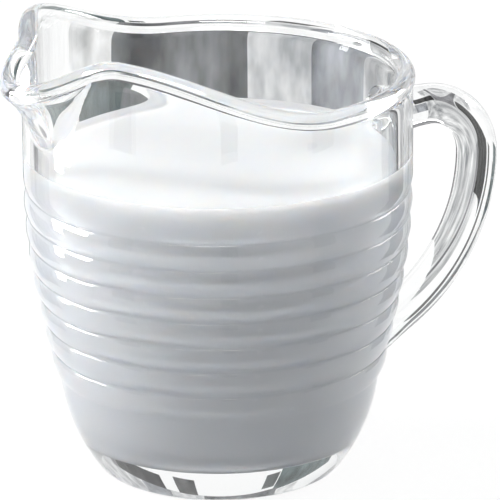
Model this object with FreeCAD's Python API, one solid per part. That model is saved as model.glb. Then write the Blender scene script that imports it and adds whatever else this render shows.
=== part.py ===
import FreeCAD, Part
import math
import os

# Ringed glass milk jug with milk in it, in millimetres.
# Z is up, the spout points to -X and the handle to +X.
# The origin is the middle of the underside of the base.

# Body
body_radius = 43.0          # outside of the plain band under the rim
base_radius = 27.0          # outside of the flat underside
base_round = 1.2            # rounding of the bottom edge
wall = 3.4                  # thickness of the side wall
base_thickness = 8.0        # clear glass under the milk
floor_round = 9.0           # inside corner between floor and wall
shoulder_height = 66.0      # above this the side is upright
cone_height = 38.0          # below this the ringed side is a straight cone
cone_angle = 12.0           # degrees that the cone leans in
bowl_angle = 5.0            # degrees that the bowl under the rings leans in where it starts

# Rings pressed round the body
ring_count = 7
ring_pitch = 6.13           # from one valley to the next
ring_depth = 0.7            # from a crest down to the valleys beside it
top_valley_height = 64.8    # the highest of the sharp valleys

# Rim, a round bead that dips and rises
rim_height = 89.6           # centre of the bead at the sides and the handle
bead_radius = 2.15
lobe_rise = 11.7            # how far the rim rises beside the spout
lobe_angle = 33.0           # degrees from the spout to the top of the rise
lobe_foot_angle = 101.0      # degrees from the spout to the level rim
tip_drop = 8.6              # from the top of the rise down to the tip

# Spout, a beak drawn out of the upper wall
spout_reach = 7.6           # how far it stands out at the rim
spout_foot_height = 79.0    # where its keel leaves the wall
spout_half_angle = 25.0     # degrees, half its width at the rim
spout_foot_angle = 9.0     # degrees, half its width at the foot
spout_curl = 0.25           # share of the reach that is in the rolled lip
spout_seat = 0.4            # depth of its edge in the wall, which leaves a crease

# Handle, one oval glass rod
handle_reach = 65.6         # from the jug's axis to the rod's centre line
handle_top_height = 75.6    # centre line where it leaves the wall
handle_top_bend = 13.0      # radius of the bend at the top
handle_back_bend = 41.0     # radius of the long curve back to the body
handle_thickness = 9.0      # across the rod, towards the hand
handle_width = 10.2         # across the rod, sideways
handle_flare = 0.25         # how much wider the rod is where it meets the wall
flare_length = 5.0          # over which that widening fades

# Milk
milk_height = 71.5          # level of the milk's surface
milk_clearance = 0.1        # between the milk and the glass

cap_height = rim_height + lobe_rise + 3 * bead_radius
bead_step = 7.5             # degrees between the bead's sections


def point(radius, height, angle=0.0):
    """A point given by its distance from the axis, height and degrees from the spout."""
    turn = math.radians(angle)
    return FreeCAD.Vector(-radius * math.cos(turn), -radius * math.sin(turn), height)


def side_radius(height):
    """Radius of the smooth side that the ring crests touch: upright, arc, then cone."""
    lean = math.radians(cone_angle)
    bend = (shoulder_height - cone_height) / math.sin(lean)
    if height >= shoulder_height:
        return body_radius
    if height >= cone_height:
        drop = shoulder_height - height
        return body_radius - bend + math.sqrt(bend ** 2 - drop ** 2)
    cone_top = body_radius - bend * (1 - math.cos(lean))
    return cone_top - (cone_height - height) * math.tan(lean)


def arc_from(start, direction, end):
    """Arc that leaves start along direction and ends at end."""
    chord = end - start
    across = chord.cross(direction).cross(direction).normalize()
    radius = chord.Length ** 2 / (2 * chord.dot(across))
    centre = start + across * radius
    to_middle = (start + end) * 0.5 - centre
    middle = centre + to_middle.normalize() * abs(radius)
    return Part.Arc(start, middle, end).toShape()


def valley_heights():
    """Heights of the sharp valleys, from the top one down."""
    return [top_valley_height - ring_pitch * number for number in range(ring_count + 1)]


def revolve(edges):
    """Solid of revolution of a closed outline that lies in the XZ plane."""
    face = Part.Face(Part.Wire(edges))
    return face.revolve(FreeCAD.Vector(0, 0, 0), FreeCAD.Vector(0, 0, 1), 360)


def line(start, end):
    return Part.LineSegment(start, end).toShape()


def bowl_edge(end):
    """Full curve from the lowest valley down to the bottom edge."""
    lowest = valley_heights()[-1]
    lean = math.radians(bowl_angle)
    start = point(side_radius(lowest) - ring_depth, lowest)
    down = FreeCAD.Vector(math.sin(lean), 0, -math.cos(lean))
    return arc_from(start, down, end)


def body_outside():
    """Solid outer form of the body: base, bowl, rings and plain upper band."""
    axis_low = point(0, 0)
    axis_high = point(0, cap_height)
    band_top = point(body_radius, cap_height)
    flat_end = point(base_radius - base_round, 0)
    bowl_end = point(base_radius + 0.45 * base_round, base_round * 0.7)
    edges = [line(axis_low, flat_end)]
    edges.append(arc_from(flat_end, FreeCAD.Vector(-1, 0, 0), bowl_end))
    edges.append(bowl_edge(bowl_end))
    valleys = valley_heights()
    for low, high in zip(valleys[:0:-1], valleys[-2::-1]):
        middle = (low + high) / 2
        bottom = point(side_radius(low) - ring_depth, low)
        crest = point(side_radius(middle), middle)
        top = point(side_radius(high) - ring_depth, high)
        edges.append(Part.Arc(bottom, crest, top).toShape())
    band_foot_height = valleys[0] + ring_pitch / 2
    band_foot = point(body_radius, band_foot_height)
    last_valley = point(side_radius(valleys[0]) - ring_depth, valleys[0])
    edges.append(arc_from(band_foot, FreeCAD.Vector(0, 0, -1), last_valley))
    edges.append(line(band_foot, band_top))
    edges.append(line(band_top, axis_high))
    edges.append(line(axis_high, axis_low))
    return revolve(edges)


def body_inside(inset=0.0):
    """Solid form of the hollow: floor, round corner and smooth wall, drawn in by inset."""
    lean = math.radians(cone_angle)
    floor = base_thickness + inset
    corner = floor_round - inset
    inner = wall + inset / math.cos(lean)
    corner_height = floor + corner
    corner_radius = side_radius(corner_height) - inner - corner / math.cos(lean)
    corner_start = point(corner_radius, floor)
    wall_foot_height = corner_height - corner * math.sin(lean)
    wall_foot = point(corner_radius + corner * math.cos(lean), wall_foot_height)
    cone_top = point(side_radius(cone_height) - inner, cone_height)
    bend_height = (cone_height + shoulder_height) / 2
    bend_middle = point(side_radius(bend_height) - inner, bend_height)
    shoulder = point(body_radius - inner, shoulder_height)
    top = point(body_radius - inner, cap_height)
    edges = [line(point(0, floor), corner_start)]
    edges.append(arc_from(corner_start, FreeCAD.Vector(-1, 0, 0), wall_foot))
    edges.append(line(wall_foot, cone_top))
    edges.append(Part.Arc(cone_top, bend_middle, shoulder).toShape())
    edges.append(line(shoulder, top))
    edges.append(line(top, point(0, cap_height)))
    edges.append(line(point(0, cap_height), point(0, floor)))
    return revolve(edges)


def rim_centre_height(angle):
    """Height of the bead's centre: level, up to a lobe beside the spout, down to its tip."""
    turn = abs(angle)
    if turn >= lobe_foot_angle:
        return rim_height
    if turn >= lobe_angle:
        share = (turn - lobe_angle) / (lobe_foot_angle - lobe_angle)
        return rim_height + lobe_rise * (1 + math.cos(math.pi * share)) / 2
    share = turn / lobe_angle
    return rim_height + lobe_rise - tip_drop * (1 + math.cos(math.pi * share)) / 2


def spout_stand(angle, share):
    """How far the spout's wall is drawn out, at a share of the way from foot to rim."""
    half = spout_foot_angle + (spout_half_angle - spout_foot_angle) * share
    across = min(abs(angle) / half, 1.0)
    rise = (1 - spout_curl) * share + spout_curl * share ** 6
    return (spout_reach + spout_seat) * rise * (1 - across ** 2) ** 2


def spout_section(radius, share, height=None):
    """Closed outline across the spout: its wall, and a straight chord behind it."""
    edge = spout_half_angle + 5.0
    steps = 30
    points = []
    for step in range(steps + 1):
        angle = -edge + 2 * edge * step / steps
        rise = rim_centre_height(angle) - spout_foot_height
        level = spout_foot_height + share * rise if height is None else height
        points.append(point(radius - spout_seat + spout_stand(angle, share), level, angle))
    curve = Part.BSplineCurve()
    curve.interpolate(points)
    return Part.Wire([curve.toShape(), line(points[-1], points[0])])


def spout_form(radius):
    """Solid beak on a wall of this radius, from the foot of the keel to above the rim."""
    shares = [0.0, 0.25, 0.5, 0.75, 0.9, 1.0]
    sections = [spout_section(radius, share) for share in shares]
    sections.append(spout_section(radius, 1.0, cap_height + bead_radius))
    return Part.makeLoft(sections, True, False)


def wavy_edge(radius, steps=72):
    """Closed curve round the jug that follows the rim's height, at one radius."""
    angles = [360.0 * step / steps for step in range(steps)]
    points = [point(radius, rim_centre_height(180.0 - angle), angle - 180.0) for angle in angles]
    curve = Part.BSplineCurve()
    curve.interpolate(points, PeriodicFlag=True)
    return curve.toShape()


def above_rim():
    """Everything above the rim's wavy line, to be cut away."""
    face = Part.makeRuledSurface(wavy_edge(body_radius * 0.5), wavy_edge(body_radius * 2.0))
    return face.extrude(FreeCAD.Vector(0, 0, cap_height))


def bead_centre(angle):
    """Point of the bead's centre line, over the middle of the wall."""
    stand = spout_stand(angle, 1.0) - spout_seat
    smooth = 0.5 * (stand + math.sqrt(stand ** 2 + 0.1))
    return point(body_radius - wall / 2 + smooth, rim_centre_height(angle), angle)


def bead_section(angle):
    """Circle across the bead, started at its top so that all of them line up."""
    centre = bead_centre(angle)
    small = 0.01
    along = (bead_centre(angle + small) - bead_centre(angle - small)).normalize()
    sideways = along.cross(FreeCAD.Vector(0, 0, 1)).normalize() * bead_radius
    upward = sideways.cross(along)
    circle = Part.Circle(centre + upward, centre + sideways, centre - upward)
    return Part.Wire([circle.toShape()])


def near_bead():
    """The rim's bead on the side of -Y, running on a little past both of its ends."""
    last = round(180 / bead_step) + 2
    sections = [bead_section(bead_step * step) for step in range(-2, last + 1)]
    return Part.makeLoft(sections, True, False)


def handle_path(distance):
    """Centre, direction and gap to the wall at a distance along the rod."""
    straight = handle_reach - handle_top_bend - body_radius
    quarter = math.pi / 2 * handle_top_bend
    bend_height = handle_top_height - handle_top_bend
    if distance <= straight:
        return body_radius + distance, handle_top_height, 0.0
    if distance <= straight + quarter:
        turn = (distance - straight) / handle_top_bend
        bend_middle = handle_reach - handle_top_bend
        across = bend_middle + handle_top_bend * math.sin(turn)
        return across, bend_height + handle_top_bend * math.cos(turn), turn
    turn = (distance - straight - quarter) / handle_back_bend
    across = handle_reach - handle_back_bend * (1 - math.cos(turn))
    return across, bend_height - handle_back_bend * math.sin(turn), turn + math.pi / 2


def handle_length():
    """Length of rod outside the body: to where its centre line meets the side."""
    distance = handle_reach - body_radius + math.pi / 2 * handle_top_bend
    across, height, turn = handle_path(distance)
    while across > side_radius(height):
        distance += 0.05
        across, height, turn = handle_path(distance)
    return distance


def handle_section(distance, length):
    """Oval across the rod, wider where it meets the wall."""
    across, height, turn = handle_path(distance)
    gap = max(min(distance, length - distance), 0.0)
    scale = 1 + handle_flare * math.exp(-(gap / flare_length) ** 2)
    centre = FreeCAD.Vector(across, 0, height)
    sideways = FreeCAD.Vector(0, handle_width / 2 * scale, 0)
    outward = FreeCAD.Vector(math.sin(turn), 0, math.cos(turn)) * (handle_thickness / 2 * scale)
    longer, shorter = sideways, outward
    if handle_thickness > handle_width:
        longer, shorter = outward, sideways
    oval = Part.Ellipse(centre + longer, centre + shorter, centre)
    return Part.Wire([oval.toShape()])


def handle():
    """One curved oval rod that runs on into the body at both ends."""
    length = handle_length()
    buried = wall + handle_width / 2
    steps = 20
    spacing = (length + 2 * buried) / steps
    sections = [handle_section(spacing * step - buried, length) for step in range(steps + 1)]
    return Part.makeLoft(sections, True, False)


def jug():
    """The glass: one half of the hollowed, wavy-rimmed body with its parts, and its mirror image."""
    outside = body_outside().fuse(spout_form(body_radius)).fuse(handle())
    inside = body_inside().fuse(spout_form(body_radius - wall))
    whole = outside.cut(inside).cut(above_rim()).fuse(near_bead())
    size = 2 * handle_reach
    near_side = Part.makeBox(2 * size, size, 2 * size, FreeCAD.Vector(-size, -size, -size / 2))
    half = whole.common(near_side)
    return half.fuse(half.mirror(FreeCAD.Vector(0, 0, 0), FreeCAD.Vector(0, 1, 0)))


def milk():
    """The milk: the hollow filled up to its level."""
    level = Part.makeCylinder(body_radius, milk_height)
    return body_inside(milk_clearance).common(level)


os.makedirs("parts", exist_ok=True)
for name, shape in (("jug", jug()), ("milk", milk())):
    solids = len(shape.Solids)
    print(name, "solids", solids, "valid", shape.isValid(), "cm3", round(shape.Volume / 1000, 2))
    shape.Solids[0].exportStep("parts/" + name + ".step")
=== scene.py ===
import math

import bpy
import numpy as np
from mathutils import Matrix, Vector


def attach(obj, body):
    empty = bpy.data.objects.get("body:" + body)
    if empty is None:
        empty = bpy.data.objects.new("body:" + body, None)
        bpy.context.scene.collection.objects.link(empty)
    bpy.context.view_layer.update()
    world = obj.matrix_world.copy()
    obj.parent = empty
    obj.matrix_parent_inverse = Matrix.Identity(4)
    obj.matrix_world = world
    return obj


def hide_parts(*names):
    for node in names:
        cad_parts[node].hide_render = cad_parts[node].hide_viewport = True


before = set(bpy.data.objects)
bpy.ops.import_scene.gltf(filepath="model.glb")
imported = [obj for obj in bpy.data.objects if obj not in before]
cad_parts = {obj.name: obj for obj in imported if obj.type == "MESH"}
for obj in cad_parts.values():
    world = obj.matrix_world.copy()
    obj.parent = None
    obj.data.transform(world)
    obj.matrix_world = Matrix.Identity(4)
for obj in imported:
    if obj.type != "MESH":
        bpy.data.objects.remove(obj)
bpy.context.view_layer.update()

# A ringed glass milk jug with milk in it. Z is up, the spout points to -X, the handle to +X, and the
# origin is under the middle of the base. The pieces' sizes are in millimetres and degrees.

mm = 0.001
poleRadius = 2.0  # profiles stop this far from the axis, and one fan of triangles closes them
scene = bpy.context.scene


def gridMesh(name, points):
    # points[row, column] is a tube whose rows close round their columns. Each end gets its middle
    # point and a fan of triangles.
    rows, columns = points.shape[:2]
    index = np.arange(rows * columns).reshape(rows, columns)
    right = np.roll(index, -1, axis=1)
    quads = np.stack([index[:-1], right[:-1], right[1:], index[1:]], axis=-1).reshape(-1, 4)
    vertices = [points.reshape(-1, 3)]
    faces = quads.tolist()
    count = rows * columns
    for ring, nextRing in ((index[0], right[0]), (right[-1], index[-1])):
        vertices.append(points.reshape(-1, 3)[ring].mean(axis=0)[None])
        faces += np.stack([np.full(columns, count), nextRing, ring], axis=-1).tolist()
        count += 1
    mesh = bpy.data.meshes.new(name)
    mesh.from_pydata(np.concatenate(vertices).tolist(), [], faces)
    mesh.update()
    return mesh


def turned(radius, height, angle):
    # Points at a radius and a height, at degrees round the axis from the spout.
    turn = np.radians(angle)
    radius, height, turn = np.broadcast_arrays(radius, height, turn)
    return np.stack([-radius * np.cos(turn), -radius * np.sin(turn), height], axis=-1)


def arcFrom(start, direction, end, steps):
    # Arc that leaves start along direction and ends at end, as rows of (radius, height). Its radius is
    # the chord squared over twice the chord's part square to the direction.
    start, direction, end = np.array(start), np.array(direction), np.array(end)
    normal = np.array([-direction[1], direction[0]])
    chord = end - start
    if chord @ normal < 0:
        normal = -normal
    radius = chord @ chord / (2 * chord @ normal)
    sweep = 2 * math.atan2(chord @ normal, chord @ direction)
    turn = np.linspace(0, sweep, steps)[:, None]
    return start + radius * (np.sin(turn) * direction + (1 - np.cos(turn)) * normal)


def pieceFrom(name, mesh):
    piece = bpy.data.objects.new(name, mesh)
    scene.collection.objects.link(piece)
    return piece


def faceOutward(mesh):
    # Volume of a closed mesh: a sixth of the sum of each triangle's first corner times the cross
    # product of the other two. It is positive when the faces point out; otherwise they are flipped.
    corners = np.empty(len(mesh.vertices) * 3)
    mesh.vertices.foreach_get("co", corners)
    corners = corners.reshape(-1, 3)
    mesh.calc_loop_triangles()
    triangles = np.empty(len(mesh.loop_triangles) * 3, dtype=int)
    mesh.loop_triangles.foreach_get("vertices", triangles)
    a, b, c = corners[triangles.reshape(-1, 3)].transpose(1, 0, 2)
    volume = np.einsum("ij,ij->i", a, np.cross(b, c)).sum() / 6
    if volume < 0:
        mesh.flip_normals()
    return abs(volume)


def smoothShade(mesh, sharpAngle):
    mesh.polygons.foreach_set("use_smooth", np.ones(len(mesh.polygons), dtype=bool))
    mesh.set_sharp_from_angle(angle=math.radians(sharpAngle))
    mesh.update()


def combine(piece, other, operation):
    # piece joined with or cut by other, exactly; other is removed.
    tool = piece.modifiers.new(operation, "BOOLEAN")
    tool.operation, tool.solver, tool.object = operation, "EXACT", other
    graph = bpy.context.evaluated_depsgraph_get()
    mesh = bpy.data.meshes.new_from_object(piece.evaluated_get(graph))
    piece.modifiers.clear()
    old = piece.data
    piece.data = mesh
    bpy.data.meshes.remove(old)
    otherMesh = other.data
    bpy.data.objects.remove(other)
    bpy.data.meshes.remove(otherMesh)


def report(name, piece):
    volume = faceOutward(piece.data) * 1e6
    print(name, len(piece.data.polygons), "faces, volume cm3", round(volume, 1))


# The glass: base, bowl, ringed side, plain band, wavy beaded rim and spout.

glassSizes = {
    "bodyRadius": 43.0,  # plain band under the rim
    "baseRadius": 27.0,
    "baseRound": 1.2,
    "baseRoundOut": 0.45,  # the rounding meets the bowl these shares of itself further out and up
    "baseRoundUp": 0.7,
    "wall": 3.4,
    "baseThickness": 8.0,
    "floorRound": 9.0,
    "shoulderHeight": 66.0,  # upright above this
    "coneHeight": 38.0,  # straight cone below this
    "coneAngle": 12.0,
    "bowlAngle": 5.0,  # lean at the top of the bowl under the rings
    "ringCount": 7,
    "ringPitch": 6.13,
    "ringDepth": 0.7,
    "topValley": 64.8,
    "valleySoftness": 0.035,  # share of a ring's half height that is rounded at the valley
    "creaseFrom": 0.90,  # share of the half height where the narrow crease at the valley begins
    "creaseDepth": 0.3,
    "rimHeight": 89.6,  # middle of the bead where the rim is level
    "beadRadius": 2.15,
    "beadRows": 30,
    "beadFrom": -42.0,  # degrees round the bead from its outer side, open towards the wall
    "beadTo": 222.0,
    "beadJoint": 0.67,  # the wall meets the bead this share of its radius under its middle
    "runOver": 12,  # power: the higher, the nearer to the bead the wall runs over to its edge
    "lobeRise": 11.7,
    "lobeAngle": 33.0,
    "lobeFootAngle": 101.0,
    "tipDrop": 8.6,
    "spoutReach": 7.6,
    "spoutFoot": 79.0,
    "spoutHalfAngle": 25.0,
    "spoutFootAngle": 9.0,
    "spoutCurl": 0.25,  # share of the reach that comes late, by the power below
    "spoutCurlPower": 6,
    "spoutSeat": 0.4,
    "creaseSoftness": 0.25,
    "columns": 288,
    "upperRows": 28,
    "coreRise": 20.0,  # above the rim
    "coreColumns": 144,
    "sharpAngle": 33,  # edges bent more than this stay sharp
}


def sideRadius(height, size=glassSizes):
    # Smooth side that the ring crests touch: upright, then an arc, then a cone leaning in.
    lean = math.radians(size["coneAngle"])
    arcHeight = size["shoulderHeight"] - size["coneHeight"]
    bend = arcHeight / math.sin(lean)
    drop = np.clip(size["shoulderHeight"] - height, 0, arcHeight)
    below = np.clip(size["coneHeight"] - height, 0, None)
    return size["bodyRadius"] - bend + np.sqrt(bend ** 2 - drop ** 2) - below * math.tan(lean)


def ringedSide(size=glassSizes):
    # (radius, height) up the ringed side. Each ring is a parabola between two valleys,
    # its depth times u squared, where u runs -1 to 1, with a small rounding at the valley.
    # The crease adds its own depth times the square of how far u has gone into it.
    soft = 1 - size["valleySoftness"]
    steps = np.array([0.12, 0.35, 0.58, 0.78, 0.89, 0.92, 0.945, 0.965, 0.985])  # closer at the valley
    within = np.concatenate([[-1], -steps[::-1], steps])
    lowest = size["topValley"] - size["ringCount"] * size["ringPitch"]
    ring = np.repeat(np.arange(size["ringCount"] + 1), len(within))
    u = np.tile(within, size["ringCount"] + 1)
    keep = (ring < size["ringCount"]) | (u < 0)  # above the top valley only the lower half of a ring
    ring, u = ring[keep], u[keep]
    height = lowest + size["ringPitch"] * (ring + (u + 1) / 2)
    away = np.abs(u)
    fall = np.where(away < soft, u ** 2, soft - soft / (1 - soft) * (1 - away) ** 2)
    crease = np.clip((away - size["creaseFrom"]) / (soft - size["creaseFrom"]), 0, 1) ** 2
    radius = sideRadius(height) - size["ringDepth"] * fall - size["creaseDepth"] * crease
    return np.stack([radius, height], axis=1)


def outsideProfile(size=glassSizes):
    # (radius, height) from near the middle of the underside, out and up to the spout's foot:
    # flat, a small rounding, the bowl's arc, the rings and the upright band.
    lean = math.radians(size["bowlAngle"])
    side = ringedSide()
    flatEnd = (size["baseRadius"] - size["baseRound"], 0.0)
    bowlEnd = (size["baseRadius"] + size["baseRoundOut"] * size["baseRound"],
               size["baseRoundUp"] * size["baseRound"])
    under = np.stack([np.linspace(poleRadius, flatEnd[0], 6)[:-1], np.zeros(5)], axis=1)
    corner = arcFrom(flatEnd, (1.0, 0.0), bowlEnd, 7)[:-1]
    bowl = arcFrom(side[0], (-math.sin(lean), -math.cos(lean)), bowlEnd, 18)[::-1][:-1]
    bandHeight = np.linspace(size["topValley"] + size["ringPitch"] / 2, size["spoutFoot"], 7)
    band = np.stack([np.full(7, size["bodyRadius"]), bandHeight], axis=1)
    return np.concatenate([under, corner, bowl, side, band])


def insideProfile(inset, top, size=glassSizes):
    # (radius, height) of the hollow from its top down to near the middle of the floor, drawn in by
    # inset: the smooth side less the wall, then a rounded corner and a flat floor.
    lean = math.radians(size["coneAngle"])
    floor = size["baseThickness"] + inset
    corner = size["floorRound"] - inset
    inner = size["wall"] + inset / math.cos(lean)
    cornerHeight = floor + corner
    cornerRadius = float(sideRadius(cornerHeight)) - inner - corner / math.cos(lean)
    footHeight = cornerHeight - corner * math.sin(lean)
    heights = np.concatenate([
        np.linspace(top, size["shoulderHeight"], 5),
        np.linspace(size["shoulderHeight"], size["coneHeight"], 12)[1:],
        np.linspace(size["coneHeight"], footHeight, 6)[1:],
    ])
    wall = np.stack([sideRadius(heights) - inner, heights], axis=1)
    turn = np.linspace(-lean, -math.pi / 2, 14)[1:]
    rounded = np.stack([cornerRadius + corner * np.cos(turn), cornerHeight + corner * np.sin(turn)], axis=1)
    flat = np.stack([np.linspace(cornerRadius, poleRadius, 7)[1:], np.full(6, floor)], axis=1)
    return np.concatenate([wall, rounded, flat])


def rimHeights(angle, size=glassSizes):
    # Level, then half a cosine wave up to the lobe, then half a cosine wave down to the spout's tip.
    turn = np.abs(angle)
    flank = np.clip((turn - size["lobeAngle"]) / (size["lobeFootAngle"] - size["lobeAngle"]), 0, 1)
    dip = np.clip(turn / size["lobeAngle"], 0, 1)
    rise = size["lobeRise"] * (1 + np.cos(math.pi * flank)) / 2
    return size["rimHeight"] + rise - size["tipDrop"] * (1 + np.cos(math.pi * dip)) / 2


def spoutStand(angle, share, size=glassSizes):
    # Reach times how far up the spout, times a bell across it: (1 - across squared) squared.
    # The wall starts where this passes the seat, through a small rounding.
    half = size["spoutFootAngle"] + (size["spoutHalfAngle"] - size["spoutFootAngle"]) * share
    across = np.clip(np.abs(angle) / half, 0, 1)
    rise = (1 - size["spoutCurl"]) * share + size["spoutCurl"] * share ** size["spoutCurlPower"]
    reach = size["spoutReach"] + size["spoutSeat"]
    stand = reach * rise * (1 - across ** 2) ** 2 - size["spoutSeat"]
    soft = size["creaseSoftness"]
    return np.where(stand < -soft, 0, np.where(stand > soft, stand, (stand + soft) ** 2 / (4 * soft)))


def makeGlassBody(size=glassSizes):
    # One closed tube of rows: the outside up, the bead over, and the inside down to the floor.
    # The bead is a circle carried along the rim, square to it.
    angle = np.arange(size["columns"]) * 360.0 / size["columns"]
    fromSpout = (angle + 180) % 360 - 180
    rim = rimHeights(fromSpout)
    jointHeight = rim - size["beadRadius"] * size["beadJoint"]
    standTop = spoutStand(fromSpout, np.ones_like(fromSpout))
    centre = turned(size["bodyRadius"] - size["wall"] / 2 + standTop, rim, angle)
    along = np.roll(centre, -1, axis=0) - np.roll(centre, 1, axis=0)
    along /= np.linalg.norm(along, axis=1)[:, None]
    outward = np.cross(np.array([0, 0, 1.0]), along)
    outward /= np.linalg.norm(outward, axis=1)[:, None]
    outward *= np.sign(np.sum(outward * centre, axis=1))[:, None]
    upward = np.cross(outward, along)
    upward *= np.sign(upward[:, 2])[:, None]
    tilt = np.radians(np.linspace(size["beadFrom"], size["beadTo"], size["beadRows"]))[:, None, None]
    bead = centre + size["beadRadius"] * (np.cos(tilt) * outward + np.sin(tilt) * upward)

    def upperWall(radius, joint):
        # Rows from the spout's foot up to the bead; near the top they run over to the bead's edge.
        share = np.linspace(0, 1, size["upperRows"])[1:-1, None]
        height = size["spoutFoot"] + share * (jointHeight - size["spoutFoot"])
        wallRows = turned(radius + spoutStand(fromSpout, share), height, angle)
        topRow = turned(radius + standTop, jointHeight, angle)
        return wallRows + (joint - topRow) * (share ** size["runOver"])[:, :, None]

    outer = outsideProfile()
    inner = insideProfile(0.0, size["spoutFoot"])
    rows = np.concatenate([
        turned(outer[:, :1], outer[:, 1:], angle),
        upperWall(size["bodyRadius"], bead[0]),
        bead,
        upperWall(size["bodyRadius"] - size["wall"], bead[-1])[::-1],
        turned(inner[:, :1], inner[:, 1:], angle),
    ])
    mesh = gridMesh("glassBody", rows * mm)
    faceOutward(mesh)
    return pieceFrom("glassBody", mesh)


def makeCore(size=glassSizes):
    # Form inside the middle of the wall, up past the rim: what lies in it is cut off the handle's
    # buried ends.
    inner = insideProfile(-size["wall"] / 2, size["rimHeight"] + size["coreRise"])
    angle = np.arange(size["coreColumns"]) * 360.0 / size["coreColumns"]
    mesh = gridMesh("core", turned(inner[:, :1], inner[:, 1:], angle) * mm)
    faceOutward(mesh)
    return pieceFrom("core", mesh)


handleSizes = {
    "reach": 65.6,  # from the jug's axis to the rod's centre line
    "topHeight": 75.6,
    "topBend": 13.0,
    "backBend": 41.0,
    "thickness": 9.0,
    "width": 10.2,
    "flare": 0.25,
    "flareLength": 5.0,
    "columns": 56,
    "rows": 120,
    "longest": 140.0,  # the path is followed this far to find where it meets the wall again
    "pathSteps": 5000,
}


def handlePath(distance, size=handleSizes, jug=glassSizes):
    # Straight out of the wall, round the top bend, then back down along a long arc.
    straight = size["reach"] - size["topBend"] - jug["bodyRadius"]
    quarter = math.pi / 2 * size["topBend"]
    first = np.clip((distance - straight) / size["topBend"], 0, math.pi / 2)
    second = np.clip((distance - straight - quarter) / size["backBend"], 0, None)
    out = jug["bodyRadius"] + np.minimum(distance, straight)
    out = out + size["topBend"] * np.sin(first) - size["backBend"] * (1 - np.cos(second))
    bendHeight = size["topHeight"] - size["topBend"]
    height = bendHeight + size["topBend"] * np.cos(first) - size["backBend"] * np.sin(second)
    return out, height, first + second


def makeHandle(size=handleSizes, jug=glassSizes):
    # An oval carried along the path, wider by a bell curve where it meets the wall.
    longWay = np.linspace(0, size["longest"], size["pathSteps"])
    out, height, turn = handlePath(longWay)
    length = longWay[np.nonzero(out > sideRadius(height))[0].max()]
    buried = jug["wall"] + size["width"] / 2
    distance = np.linspace(-buried, length + buried, size["rows"])[:, None]
    out, height, turn = handlePath(distance)
    gap = np.clip(np.minimum(distance, length - distance), 0, None)
    scale = 1 + size["flare"] * np.exp(-(gap / size["flareLength"]) ** 2)
    around = np.linspace(0, 2 * math.pi, size["columns"], endpoint=False)[None]
    away = size["thickness"] / 2 * scale * np.cos(around)
    aside = size["width"] / 2 * scale * np.sin(around)
    rows = np.stack([out + away * np.sin(turn), aside, height + away * np.cos(turn)], axis=-1)
    mesh = gridMesh("handleRod", rows * mm)
    faceOutward(mesh)
    return pieceFrom("handleRod", mesh)


glass = makeGlassBody()
handleRod = makeHandle()
combine(handleRod, makeCore(), "DIFFERENCE")
combine(glass, handleRod, "UNION")
smoothShade(glass.data, glassSizes["sharpAngle"])
report("glass jug:", glass)


milkSizes = {
    "level": 71.5,
    "intoGlass": 0.12,  # reaches this far into the wall, so that no air shows between them
    "meniscus": 0.9,  # how far the milk climbs at the wall
    "meniscusWidth": 1.3,
    "edgeSteps": (0.15, 0.4, 0.8, 1.3, 2.0, 3.0, 4.5),  # from the wall, where the surface climbs
    "flatFrom": 7.0,
    "flatSteps": 10,
    "columns": 192,
    "sharpAngle": 60,
}


def makeMilk(size=milkSizes):
    # The hollow up to the milk's level, and a surface that climbs at the wall by a curve that dies
    # away exponentially with the distance from the wall.
    inner = insideProfile(-size["intoGlass"], size["level"] + size["meniscus"])
    edge = inner[0, 0]
    flat = np.linspace(size["flatFrom"], edge - poleRadius, size["flatSteps"])
    inward = edge - np.concatenate([size["edgeSteps"], flat])
    climb = size["meniscus"] * np.exp(-(edge - inward) / size["meniscusWidth"])
    surface = np.stack([inward, size["level"] + climb], axis=1)[::-1]
    profile = np.concatenate([surface, inner])
    angle = np.arange(size["columns"]) * 360.0 / size["columns"]
    mesh = gridMesh("milkBody", turned(profile[:, :1], profile[:, 1:], angle) * mm)
    faceOutward(mesh)
    smoothShade(mesh, size["sharpAngle"])
    return pieceFrom("milkBody", mesh)


milk = makeMilk()
report("milk:", milk)


def newMaterial(name):
    material = bpy.data.materials.new(name)
    material.use_nodes = True
    nodes = material.node_tree.nodes
    return material, nodes, material.node_tree.links, nodes["Principled BSDF"]


def noiseFrom(nodes, links, vector, scale, detail):
    noise = nodes.new("ShaderNodeTexNoise")
    noise.inputs["Scale"].default_value = scale
    noise.inputs["Detail"].default_value = detail
    links.new(vector, noise.inputs["Vector"])
    return noise.outputs["Fac"]


toneRange = (0.3, 0.7)  # of a noise that lies mostly between these


def toneFrom(nodes, links, value, low, high):
    # Runs from the low to the high colour as value crosses toneRange.
    tone = nodes.new("ShaderNodeValToRGB")
    first, last = tone.color_ramp.elements
    first.position, last.position = toneRange
    first.color, last.color = tuple(low) + (1,), tuple(high) + (1,)
    links.new(value, tone.inputs["Fac"])
    return tone.outputs["Color"]


clearGlassLook = {
    "colour": (0.985, 0.992, 0.99),
    "roughness": 0.0,
    "ior": 1.5,
    "unevenScale": 38.0,  # soft waviness of pressed glass
    "unevenDetail": 1.0,
    "unevenDepth": 0.00022,  # metres
}


def clearGlass(look=clearGlassLook):
    material, nodes, links, shader = newMaterial("clearGlass")
    shader.inputs["Base Color"].default_value = look["colour"] + (1,)
    shader.inputs["Roughness"].default_value = look["roughness"]
    shader.inputs["IOR"].default_value = look["ior"]
    shader.inputs["Transmission Weight"].default_value = 1.0
    place = nodes.new("ShaderNodeTexCoord").outputs["Object"]
    bump = nodes.new("ShaderNodeBump")
    bump.inputs["Strength"].default_value = 1.0
    bump.inputs["Distance"].default_value = look["unevenDepth"]
    uneven = noiseFrom(nodes, links, place, look["unevenScale"], look["unevenDetail"])
    links.new(uneven, bump.inputs["Height"])
    links.new(bump.outputs["Normal"], shader.inputs["Normal"])
    return material


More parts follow.
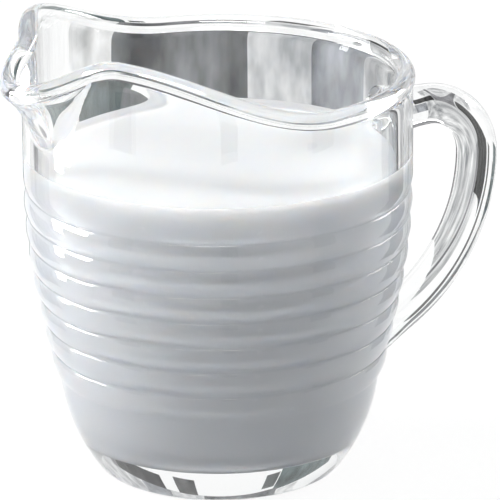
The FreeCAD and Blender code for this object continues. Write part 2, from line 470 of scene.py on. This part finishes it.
milkLook = {
    "colour": (0.87, 0.89, 0.92),
    "darkerClouds": 0.985,
    "cloudScale": 25.0,
    "cloudDetail": 2.0,
    "roughness": 0.14,
    "softRadius": (1.0, 0.9, 0.8),
    "softness": 0.15,
    "depth": 0.0006,  # metres that light wanders in the milk
    "topSoftness": 1.0,  # near the surface light reaches further into the milk
    "topDepth": 0.006,
    "topFrom": 65.5,  # from this height up to the level, in millimetres
}


def milkMaterial(look=milkLook, size=milkSizes):
    material, nodes, links, shader = newMaterial("milk")
    place = nodes.new("ShaderNodeTexCoord").outputs["Object"]
    clouds = noiseFrom(nodes, links, place, look["cloudScale"], look["cloudDetail"])
    darker = tuple(value * look["darkerClouds"] for value in look["colour"])
    links.new(toneFrom(nodes, links, clouds, darker, look["colour"]), shader.inputs["Base Color"])
    shader.inputs["Roughness"].default_value = look["roughness"]
    shader.inputs["Subsurface Radius"].default_value = look["softRadius"]
    height = nodes.new("ShaderNodeSeparateXYZ")
    links.new(place, height.inputs["Vector"])
    for socket, low, high in (("Subsurface Weight", look["softness"], look["topSoftness"]),
                              ("Subsurface Scale", look["depth"], look["topDepth"])):
        climb = nodes.new("ShaderNodeMapRange")
        climb.inputs["From Min"].default_value = look["topFrom"] * mm
        climb.inputs["From Max"].default_value = size["level"] * mm
        climb.inputs["To Min"].default_value = low
        climb.inputs["To Max"].default_value = high
        links.new(height.outputs["Z"], climb.inputs["Value"])
        links.new(climb.outputs["Result"], shader.inputs[socket])
    return material


glass.data.materials.clear()
glass.data.materials.append(clearGlass())
milk.data.materials.append(milkMaterial())
for piece, node, finish in ((glass, "jug", "clear_glass"), (milk, "milk", "milk")):
    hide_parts(node)
    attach(piece, "root")
print("materials and pieces placed")


# The studio: world, floor, cards, lamps, net and camera. Azimuths of cards and lamps are in degrees
# from the camera's side of the jug towards the camera's left.

viewing = {
    "azimuth": -27.0,  # the camera's side, turned from -Y towards -X
    "elevation": 18.9,
    "distance": 1100.0,
    "lens": 356.8,
    "sensor": 36.0,
    "nearest": 0.01,  # metres that the camera sees
    "farthest": 20.0,
    "aimAside": 6.95,
    "aimHeight": 49.19,
    "roll": -0.33,
}


def addCamera(look=viewing):
    turn, rise = math.radians(look["azimuth"]), math.radians(look["elevation"])
    back = Vector((math.sin(turn) * math.cos(rise), -math.cos(turn) * math.cos(rise), math.sin(rise)))
    right = Vector((math.cos(turn), math.sin(turn), 0))
    up = back.cross(right)
    aim = right * look["aimAside"] * mm + Vector((0, 0, look["aimHeight"] * mm))
    roll = Matrix.Rotation(math.radians(look["roll"]), 3, back)
    data = bpy.data.cameras.new("camera")
    data.lens, data.sensor_width = look["lens"], look["sensor"]
    data.clip_start, data.clip_end = look["nearest"], look["farthest"]
    camera = bpy.data.objects.new("camera", data)
    scene.collection.objects.link(camera)
    turning = roll @ Matrix((right, up, back)).transposed()
    camera.matrix_world = Matrix.Translation(aim + back * look["distance"] * mm) @ turning.to_4x4()
    scene.camera = camera


def straightOrThrough(nodes, links):
    # 1 for what is seen straight, mirrored or through glass, and 0 for light that falls on matt surfaces.
    path = nodes.new("ShaderNodeLightPath")
    total = path.outputs["Is Camera Ray"]
    for name in ("Is Glossy Ray", "Is Transmission Ray"):
        add = nodes.new("ShaderNodeMath")
        add.operation, add.use_clamp = "ADD", True
        links.new(total, add.inputs[0])
        links.new(path.outputs[name], add.inputs[1])
        total = add.outputs[0]
    beforeMatt = nodes.new("ShaderNodeMath")
    beforeMatt.operation = "LESS_THAN"
    beforeMatt.inputs[1].default_value = 0.5
    links.new(path.outputs["Diffuse Depth"], beforeMatt.inputs[0])
    both = nodes.new("ShaderNodeMath")
    both.operation = "MULTIPLY"
    links.new(total, both.inputs[0])
    links.new(beforeMatt.outputs[0], both.inputs[1])
    return both.outputs[0]


def mixInto(nodes, links, factor, first, second, target):
    # first where factor is 0, second where it is 1. A plain number is set on the socket itself.
    mix = nodes.new("ShaderNodeMixShader")
    if isinstance(factor, float):
        mix.inputs["Fac"].default_value = factor
    else:
        links.new(factor, mix.inputs["Fac"])
    links.new(first, mix.inputs[1])
    links.new(second, mix.inputs[2])
    links.new(mix.outputs["Shader"], target)


def plain(nodes, kind, grey=1.0):
    shader = nodes.new(kind)
    shader.inputs["Color"].default_value = (grey, grey, grey, 1)
    return shader


worldLook = {
    "matt": 0.14,  # strength of the light that falls on matt surfaces
}


def setWorld(look=worldLook):
    world = bpy.data.worlds.new("studioWorld")
    scene.world = world
    world.use_nodes = True
    nodes, links = world.node_tree.nodes, world.node_tree.links
    nodes.clear()
    output = nodes.new("ShaderNodeOutputWorld")
    seen, glow = plain(nodes, "ShaderNodeBackground"), plain(nodes, "ShaderNodeBackground")
    glow.inputs["Strength"].default_value = look["matt"]
    mixInto(nodes, links, straightOrThrough(nodes, links), glow.outputs["Background"],
            seen.outputs["Background"], output.inputs["Surface"])


floorLook = {
    "white": 0.93,
    "roughness": 0.9,
    "glow": 0.94,  # share of plain white in what is seen of the floor; the rest keeps the shadow
    "bounce": 0.2,  # how pale the floor is for the light that it throws back on the jug
    "half": 3.0,  # metres
    "height": -0.0002,  # just under the base
}


def makeFloor(look=floorLook):
    half = look["half"]
    mesh = bpy.data.meshes.new("floor")
    corners = [(-half, -half, 0), (half, -half, 0), (half, half, 0), (-half, half, 0)]
    mesh.from_pydata(corners, [], [(0, 1, 2, 3)])
    floor = pieceFrom("floor", mesh)
    floor.location.z = look["height"]
    material, nodes, links, shader = newMaterial("paleFloor")
    shader.inputs["Base Color"].default_value = (look["white"],) * 3 + (1,)
    shader.inputs["Roughness"].default_value = look["roughness"]
    shader.inputs["Specular IOR Level"].default_value = 0.0
    white = plain(nodes, "ShaderNodeEmission")
    bounce = plain(nodes, "ShaderNodeBsdfDiffuse", look["bounce"])
    seen = nodes.new("ShaderNodeMixShader")
    seen.inputs["Fac"].default_value = look["glow"]
    links.new(shader.outputs["BSDF"], seen.inputs[1])
    links.new(white.outputs["Emission"], seen.inputs[2])
    mixInto(nodes, links, straightOrThrough(nodes, links), bounce.outputs["BSDF"],
            seen.outputs["Shader"], nodes["Material Output"].inputs["Surface"])
    mesh.materials.append(material)


# Cards that stand round the jug, seen only in the glass. Distances and heights are in millimetres:
# name: (azimuth, width, distance, low edge, high edge, shade, strength)
cards = {
    "baseLeft": (200.0, 15.0, 118, 31, 45, (0.045, 0.045, 0.045), 1.0),
    "handleStreak": (208.8, 2.0, 118, 0, 46, (0.18, 0.18, 0.19), 1.0),
    "baseMiddle": (187.0, 4.5, 118, 29, 45, (0.10, 0.10, 0.10), 1.0),
    "baseRight": (169.0, 3.0, 118, 29, 42, (0.10, 0.11, 0.11), 1.0),
    "gleamLeft": (37.0, 2.6, 118, 8, 40, (0.8, 0.8, 0.8), 2.4),
    "gleamRight": (-21.0, 2.6, 118, 8, 34, (0.8, 0.8, 0.8), 2.4),
    "backDark": (174.6, 17.6, 120, 46, 67, (0.14, 0.145, 0.15), 1.0),
    "backPale": (187.7, 9.8, 121, 46, 70, (0.88, 0.91, 0.95), 1.0),
    "backGrey": (196.0, 8.4, 120, 46, 70, (0.24, 0.25, 0.27), 1.0),
    "backLeft": (163.0, 8.0, 121, 50, 67, (0.95, 0.97, 0.97), 1.0),
    "backSpout": (157.5, 19.0, 123, 10, 50, (0.11, 0.14, 0.14), 1.0),
    "leftDark": (112.0, 26.0, 115, 0, 50, (0.32, 0.32, 0.33), 1.0),
    "rightDark": (-112.0, 20.0, 118, 0, 90, (0.06, 0.06, 0.07), 1.0),
    "rightGrey": (-143.0, 34.0, 120, 0, 100, (0.56, 0.58, 0.61), 1.0),
    "overBack": (176.0, 196.0, 300, 190, 420, (0.10, 0.10, 0.11), 1.0),
    "overFront": (0.0, 200.0, 450, 330, 520, (0.14, 0.14, 0.15), 1.0),
    "frontLeft": (54.0, 14.0, 300, 0, 260, (0.10, 0.10, 0.11), 1.0),
    "frontMiddle": (-6.0, 9.0, 300, 0, 260, (0.10, 0.10, 0.11), 1.0),
    "frontRight": (-60.0, 14.0, 300, 0, 260, (0.10, 0.10, 0.11), 1.0),
}
cardStreaks = {
    "scale": (150, 150, 60),
    "detail": 3.0,
    "darker": 0.45,  # times the card's shade
    "paler": 2.0,
    "steps": 8,  # faces across a card
}


def addCard(name, azimuth, width, distance, lowEdge, highEdge, shade, strength, look=cardStreaks):
    # A strip of a cylinder round the jug's axis, from its low to its high edge, with upright streaks.
    steps = look["steps"]
    turn = np.radians(viewing["azimuth"] - azimuth + np.linspace(-0.5, 0.5, steps + 1) * width)
    x, y = distance * mm * np.sin(turn), -distance * mm * np.cos(turn)
    low = np.stack([x, y, np.full_like(x, lowEdge * mm)], axis=1)
    high = np.stack([x, y, np.full_like(x, highEdge * mm)], axis=1)
    faces = [(step, step + 1, step + steps + 2, step + steps + 1) for step in range(steps)]
    mesh = bpy.data.meshes.new(name)
    mesh.from_pydata(np.concatenate([low, high]).tolist(), [], faces)
    piece = pieceFrom(name, mesh)
    material, nodes, links, shader = newMaterial(name + "Shade")
    stretch = nodes.new("ShaderNodeMapping")
    stretch.inputs["Scale"].default_value = look["scale"]
    links.new(nodes.new("ShaderNodeTexCoord").outputs["Object"], stretch.inputs["Vector"])
    streaks = noiseFrom(nodes, links, stretch.outputs["Vector"], 1.0, look["detail"])
    darker = tuple(value * look["darker"] for value in shade)
    paler = tuple(min(value * look["paler"], 1.0) for value in shade)
    glow = nodes.new("ShaderNodeEmission")
    glow.inputs["Strength"].default_value = strength
    links.new(toneFrom(nodes, links, streaks, darker, paler), glow.inputs["Color"])
    clear = nodes.new("ShaderNodeBsdfTransparent")
    mixInto(nodes, links, straightOrThrough(nodes, links), clear.outputs["BSDF"],
            glow.outputs["Emission"], nodes["Material Output"].inputs["Surface"])
    mesh.materials.append(material)
    piece.visible_camera = piece.visible_diffuse = piece.visible_shadow = False


# Area lamps, in degrees, metres and watts:
# name: (azimuth, elevation, distance, width and height, power)
lamps = {
    "leftLamp": (95, 17, 0.9, (0.5, 0.4), 27.0),
    "rightLamp": (-119, 22, 0.9, (0.5, 0.3), 9.0),
    "nearLamp": (12, 59, 0.24, (0.12, 0.03), 0.59),  # small and close, so that the rings stand out
    "leftNear": (98, 9, 0.22, (0.03, 0.04), 0.11),
    "backLamp": (182, 35, 0.9, (0.6, 0.3), 2.5),
}
lampAim = (0, 0, 0.05)


def addLamp(name, azimuth, elevation, distance, size, power):
    turn, rise = math.radians(viewing["azimuth"] - azimuth), math.radians(elevation)
    spot = Vector((math.sin(turn) * math.cos(rise), -math.cos(turn) * math.cos(rise), math.sin(rise)))
    light = bpy.data.lights.new(name, "AREA")
    light.shape, light.energy = "RECTANGLE", power
    light.size, light.size_y = size
    lamp = bpy.data.objects.new(name, light)
    scene.collection.objects.link(lamp)
    lamp.location = spot * distance
    lamp.rotation_euler = (Vector(lampAim) - lamp.location).to_track_quat("-Z", "Y").to_euler()
    lamp.visible_camera = False


scrim = {
    "aside": 0.05,  # metres to each side
    "front": -0.12,
    "back": 0.0,
    "height": 0.135,
    "holds": 0.74,  # share of the light that it holds back
}


def addScrim(size=scrim):
    # A thin net over the front of the jug, between the near lamp and the milk's surface. It is never seen.
    turn = math.radians(viewing["azimuth"])
    across = np.array([-size["aside"], size["aside"], size["aside"], -size["aside"]])
    depth = np.array([size["front"], size["front"], size["back"], size["back"]])
    x = across * math.cos(turn) - depth * math.sin(turn)
    y = across * math.sin(turn) + depth * math.cos(turn)
    mesh = bpy.data.meshes.new("scrim")
    mesh.from_pydata(np.stack([x, y, np.full(4, size["height"])], axis=1).tolist(), [], [(0, 1, 2, 3)])
    net = pieceFrom("scrim", mesh)
    material, nodes, links, shader = newMaterial("scrimNet")
    clear = nodes.new("ShaderNodeBsdfTransparent")
    dark = plain(nodes, "ShaderNodeBsdfDiffuse", 0.0)
    mixInto(nodes, links, size["holds"], clear.outputs["BSDF"], dark.outputs["BSDF"],
            nodes["Material Output"].inputs["Surface"])
    mesh.materials.append(material)
    net.visible_camera = net.visible_glossy = net.visible_transmission = False


lightDepth = 32  # times that light may pass or mirror in the glass: a thick spout turns black with few

setWorld()
makeFloor()
for name, card in cards.items():
    addCard(name, *card)
for name, lamp in lamps.items():
    addLamp(name, *lamp)
addScrim()
addCamera()
scene.view_settings.view_transform = "Standard"
scene.cycles.max_bounces = lightDepth
scene.cycles.transmission_bounces = lightDepth
scene.cycles.glossy_bounces = lightDepth
scene.cycles.blur_glossy = 0.0  # light bends sharply in the rings, as it does in real glass
print("studio and camera ready")
